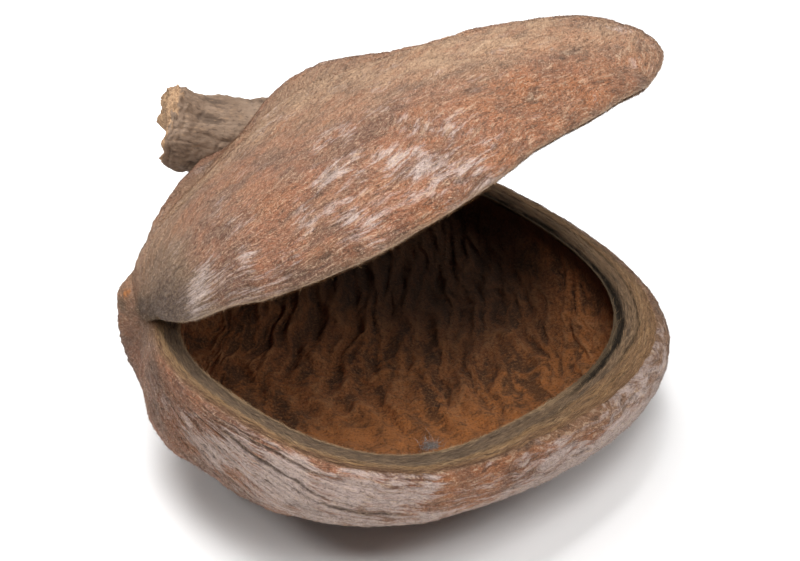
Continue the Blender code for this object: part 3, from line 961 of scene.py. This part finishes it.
def make_skin():
    material, tree = new_material("pod_skin", 0.68, 0.07, (1.0, 0.86, 0.74))
    fibre, place = stored(tree, "fibre", vector=True), object_place(tree)
    relief, olive = stored(tree, "relief"), stored(tree, "olive")
    broad = noise(place, 8, 5.0, 0.65)
    streak = noise(fibre, (8, 1.2, 1.2), 4.0, 0.7)
    pale_grain = noise(fibre, (12, 2.4, 2.4), 4.0, 0.65)
    chips = noise(fibre, (4.0, 0.8, 0.8), 5.0, 0.75)
    thread = noise(fibre, (2.2, 0.36, 0.36), 3.0, 0.75)
    specks = noise(place, 0.4, 3.0, 0.8)
    # The pale top is partly dust and partly painted light, broken up into streaks.
    pale = times(stored(tree, "pale"), between(pale_grain, 0.3, 0.65, 0.3, 0.85))
    rust = times(stored(tree, "rust"), between(broad, 0.3, 0.6, 0.2, 0.8))
    bloom = maths("ADD", stored(tree, "bloom"), between(chips, 0.34, 0.66, -0.5, 0.42))
    bloom = between(bloom, 0.25, 1.0, 0.0, 0.9)
    bare, lit = maths("MULTIPLY_ADD", bloom, -0.5, 1.0), between(olive, 0.7, 1.7, 1.0, 0.8)
    lip = times(stored(tree, "lip"), between(thread, 0.3, 0.6, 0.3, 0.9))
    scar = maths("ADD", stored(tree, "scar"), between(specks, 0.3, 0.7, -0.35, 0.35))
    colour = mix(between(broad, 0.4, 0.6), UMBER, RED_BROWN)
    colour = coats(colour, (TAN, streak, 0.5, 0.8, 0.45), (UMBER, streak, 0.46, 0.25, 0.4))
    colour = mix(rust, mix(pale, colour, DUST_AND_PAINTED_LIGHT), ORANGE)
    colour = coats(colour, (OLIVE_BROWN, olive, 0.0, 1.0, 0.8), (DEEP, olive, 0.8, 1.8, 0.8))
    colour = mix(bloom, mix(stored(tree, "edge"), colour, EDGE_BROWN), CHALK)
    colour = coats(
        colour,
        # Painted shade in the hollows of the skin and painted light on its ridges.
        (DEEP, relief, 0.42, 0.05, 0.8),
        (DUST_AND_PAINTED_LIGHT, relief, 0.6, 0.98, 0.3),
        (FLECK, thread, 0.54, 0.66, 0.42, lit),
        (DEEP, thread, 0.47, 0.36, 0.65, bare),
        (FLECK, specks, 0.56, 0.66, 0.55, lit),
        (DEEP, specks, 0.45, 0.35, 0.65, bare),
    )
    colour = mix(between(scar, 0.45, 0.8), mix(lip, colour, LIP_TAN), TORN)
    colour = tinted(colour, times(stored(tree, "tint"), lit), FLECK, DEEP)
    return finished(material, colour, (specks, 0.3, 1.0), (thread, 0.25, 0.9))


# %% [markdown]
# The band is wood cut by the split. Its colour goes across the wall: brown at the skin, golden
# and khaki in the middle, a dark line at the groove and grey brown on the sunken step. On the
# right of the bowl the step drops to a dark ledge, and at the far end its outer edge is darker.

# %% Band material
BAND_BROWN, GOLD, KHAKI = (0.215, 0.11, 0.066), (0.47, 0.275, 0.125), (0.35, 0.228, 0.135)
GREY_WOOD, LINE_DARK = (0.205, 0.143, 0.098), (0.042, 0.027, 0.018)
EDGE_LIGHT, LEDGE_DARK = (0.54, 0.365, 0.205), (0.028, 0.022, 0.016)
SHOULDER, FAR_EDGE_DARK = (0.29, 0.16, 0.082), (0.085, 0.056, 0.04)


def make_band():
    material, tree = new_material("split_band", 0.8)
    grain, side = stored(tree, "grain", vector=True), stored(tree, "side")
    broad = noise(grain, (14, 1.5, 1), 3.0, 0.6)
    streak = noise(grain, (7, 0.3, 1), 3.0, 0.6)
    speck = noise(grain, (0.8, 0.5, 1), 3.0, 0.7)
    thread = noise(grain, (3.0, 0.16, 1), 2.0, 0.6)
    across = maths("MULTIPLY_ADD", broad, 0.2, maths("SUBTRACT", stored(tree, "place"), 0.1))
    fray = maths("MULTIPLY_ADD", streak, 0.16, maths("SUBTRACT", across, 0.08))
    past = maths("SUBTRACT", fray, between(side, 0.0, 1.0, 0.34, 0.48))
    outer = coats(mix(side, BAND_BROWN, SHOULDER), (GOLD, streak, 0.52, 0.66, 0.7))
    golden = mix(between(streak, 0.4, 0.62), KHAKI, GOLD)
    golden = coats(golden, (LINE_DARK, streak, 0.42, 0.32, 0.8))
    gold_share = times(between(fray, 0.1, 0.2), between(side, 0.25, 1.0, 1.0, 0.35))
    grey = mix(between(broad, 0.42, 0.62), GREY_WOOD, mix(side, GREY_WOOD, KHAKI))
    line = times(between(past, -0.05, 0.0), between(past, 0.06, 0.01))
    line = times(line, between(broad, 0.38, 0.6, 0.15, 0.85))
    rim = times(between(across, 0.64, 0.71), between(across, 0.78, 0.73))
    ledge = times(between(across, 0.73, 0.78), between(side, 0.75, 1.0))
    colour = mix(between(past, 0.0, 0.05), mix(gold_share, outer, golden), grey)
    colour = mix(line, colour, LINE_DARK)
    colour = coats(colour, (FAR_EDGE_DARK, across, 0.34, 0.16, 0.85, stored(tree, "far")))
    colour = mix(times(rim, times(side, 0.6)), colour, KHAKI)
    colour = mix(ledge, colour, LEDGE_DARK)
    colour = coats(
        colour,
        (EDGE_LIGHT, across, 0.9, 0.96, 0.75, between(side, 0.5, 1.0, 1.0, 0.3)),
        (EDGE_LIGHT, speck, 0.56, 0.74, 0.45),
        (LINE_DARK, speck, 0.44, 0.28, 0.6),
        (LINE_DARK, thread, 0.45, 0.32, 0.6),
    )
    tint = times(stored(tree, "tint"), maths("MULTIPLY_ADD", ledge, -0.85, 1.0))
    colour = tinted(colour, tint, EDGE_LIGHT, LINE_DARK)
    return finished(material, colour, (thread, 0.15, 0.7), (speck, 0.2, 0.8))


# %% [markdown]
# The lining is velvety and orange brown. Painted light brightens the tops of its wrinkles and
# painted shade makes the valleys almost black. Painted light brightens it at the front and on the
# right, and painted shade darkens it far back under the lid.

# %% Lining material
VELVET, WARM, CREST = (0.2, 0.072, 0.026), (0.33, 0.122, 0.038), (0.43, 0.205, 0.088)
# The bright orange on the next line is painted light, and the darkest brown is painted shade.
LIGHT_PAINT, VALLEY, SHADE_PAINT = (0.51, 0.185, 0.05), (0.04, 0.022, 0.013), (0.012, 0.007, 0.005)


def make_lining():
    material, tree = new_material("pod_lining", 0.92, 0.12, (0.9, 0.55, 0.35))
    place, relief = object_place(tree), stored(tree, "relief")
    broad = noise(place, 9, 3.0, 0.6)
    blotch = noise(place, 2.6, 5.0, 0.7)
    fine = noise(stored(tree, "wrinkle", vector=True), (0.8, 3.0, 3.0), 3.0, 0.65, 0.5)
    speck = noise(place, 0.42, 3.0, 0.8)
    colour = mix(between(broad, 0.35, 0.7), VELVET, WARM)
    # Painted light: bright orange pools at the front and on the right.
    colour = mix(times(stored(tree, "painted_light"), 0.85), colour, LIGHT_PAINT)
    colour = coats(
        colour,
        # Painted shade in the valleys of the wrinkles and painted light on their crests; the coats
        # after them are flecks.
        (VALLEY, relief, 0.45, 0.05, 0.72),
        (CREST, relief, 0.62, 0.95, 0.5),
        (VALLEY, blotch, 0.5, 0.36, 0.55),
        (VALLEY, fine, 0.46, 0.32, 0.35),
        (CREST, fine, 0.56, 0.72, 0.3),
        (CREST, speck, 0.52, 0.64, 0.5),
        (VALLEY, speck, 0.48, 0.38, 0.6),
    )
    # Painted shade: the lining goes darker towards the back and under the lid.
    colour = mix(stored(tree, "painted_shade"), colour, SHADE_PAINT)
    return finished(material, colour, (speck, 0.25, 0.8), (fine, 0.5, 0.8))


# %% [markdown]
# The stalk's bark is dull grey brown, with painted shade in its hollows. Where it broke, paler tan
# wood shows, on the face and on the knob. Loose strands need only two colours, and each strand lies
# somewhere between them.

# %% Stalk and strand materials
BARK, BARK_LIGHT, BARK_DARK = (0.152, 0.1, 0.068), (0.212, 0.148, 0.105), (0.07, 0.046, 0.032)
TORN_WOOD, TORN_BROWN = (0.39, 0.25, 0.145), (0.23, 0.14, 0.08)
STRAW = ((0.26, 0.15, 0.075), (0.54, 0.36, 0.19))
GREY = ((0.2, 0.18, 0.165), (0.56, 0.53, 0.5))


def make_bark():
    material, tree = new_material("stalk_bark", 0.88)
    fibre, relief = stored(tree, "fibre", vector=True), stored(tree, "relief")
    broad = noise(fibre, 4, 4.0, 0.6)
    streak = noise(fibre, (3, 1.0, 1.0), 4.0, 0.65)
    speck = noise(fibre, (0.7, 0.35, 0.35), 3.0, 0.6)
    colour = coats(
        mix(between(broad, 0.35, 0.65), BARK, BARK_LIGHT),
        (BARK_DARK, streak, 0.45, 0.3, 0.5),
        # Painted shade in the hollows of the bark.
        (BARK_DARK, relief, 0.35, 0.05, 0.8),
        (BARK_DARK, speck, 0.46, 0.34, 0.6),
        (TORN_WOOD, speck, 0.55, 0.7, 0.3),
    )
    torn = mix(between(speck, 0.4, 0.6), TORN_WOOD, TORN_BROWN)
    colour = mix(stored(tree, "broken"), colour, torn)
    return finished(material, colour, (speck, 0.2, 0.6), (streak, 0.25, 0.6))


def make_strand(name, roughness, dark, light):
    material, tree = new_material(name, roughness)
    return finished(material, mix(stored(tree, "tint"), dark, light))


# %% Put the materials on
finishes = {"skin": make_skin(), "band": make_band(), "lining": make_lining(), "stalk": make_bark()}
finishes["lint"] = make_strand("grey_lint", 0.9, *GREY)
finishes["fibres"] = finishes["fringe"] = make_strand("loose_fibre", 0.7, *STRAW)
finishes["felt"], finishes["band_felt"] = finishes["skin"], finishes["band"]
for name, piece in pieces.items():
    piece.data.materials.clear()
    piece.data.materials.append(finishes[name.split("_", 1)[-1]])
    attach(piece, "root")
    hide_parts("badam_pod")
print("materials on", len(pieces), "pieces")

# %% [markdown]
# The stage is a large pale table that runs out of the picture on all sides. A big soft light hangs
# high over the pod and a little behind it, a second one hangs high in front, and two small weak
# ones at the sides keep the flanks from going dark. All of them face the pod.

# %% Table and lights
TABLE_SIZE, TABLE_WHITE, TABLE_ROUGHNESS = 6.0, 0.9, 0.15
LIGHTS_AIM, WORLD_LIGHT = Vector((0, 0, 0.03)), 0.15
LIGHTS = [("key", (-0.2, 0.2, 1.0), 0.7, 14.0), ("fill", (0.12, -0.6, 1.0), 0.5, 8.5)]
LIGHTS += [("left", (-0.9, -0.3, 0.9), 0.3, 4.0), ("right", (0.9, -0.4, 0.9), 0.3, 4.0)]

bpy.ops.object.select_all(action="DESELECT")
bpy.ops.mesh.primitive_plane_add(size=TABLE_SIZE, location=(0, 0, 0))
table = bpy.context.object
table.name = "table"
white = bpy.data.materials.new("white_table")
white.use_nodes = True
inputs = white.node_tree.nodes["Principled BSDF"].inputs
inputs["Base Color"].default_value = (TABLE_WHITE, TABLE_WHITE, TABLE_WHITE, 1)
inputs["Roughness"].default_value = TABLE_ROUGHNESS
table.data.materials.append(white)

for name, place, size, power in LIGHTS:
    bpy.ops.object.light_add(type="AREA", location=place)
    light = bpy.context.object
    light.name = name
    light.data.shape = "SQUARE"
    light.data.size = size
    light.data.energy = power
    aim = LIGHTS_AIM - Vector(place)
    light.rotation_euler = aim.to_track_quat("-Z", "Y").to_euler()

world = bpy.data.worlds.new("studio")
bpy.context.scene.world = world
world.use_nodes = True
world.node_tree.nodes["Background"].inputs["Color"].default_value = (1, 1, 1, 1)
world.node_tree.nodes["Background"].inputs["Strength"].default_value = WORLD_LIGHT
bpy.context.scene.view_settings.view_transform = "Standard"
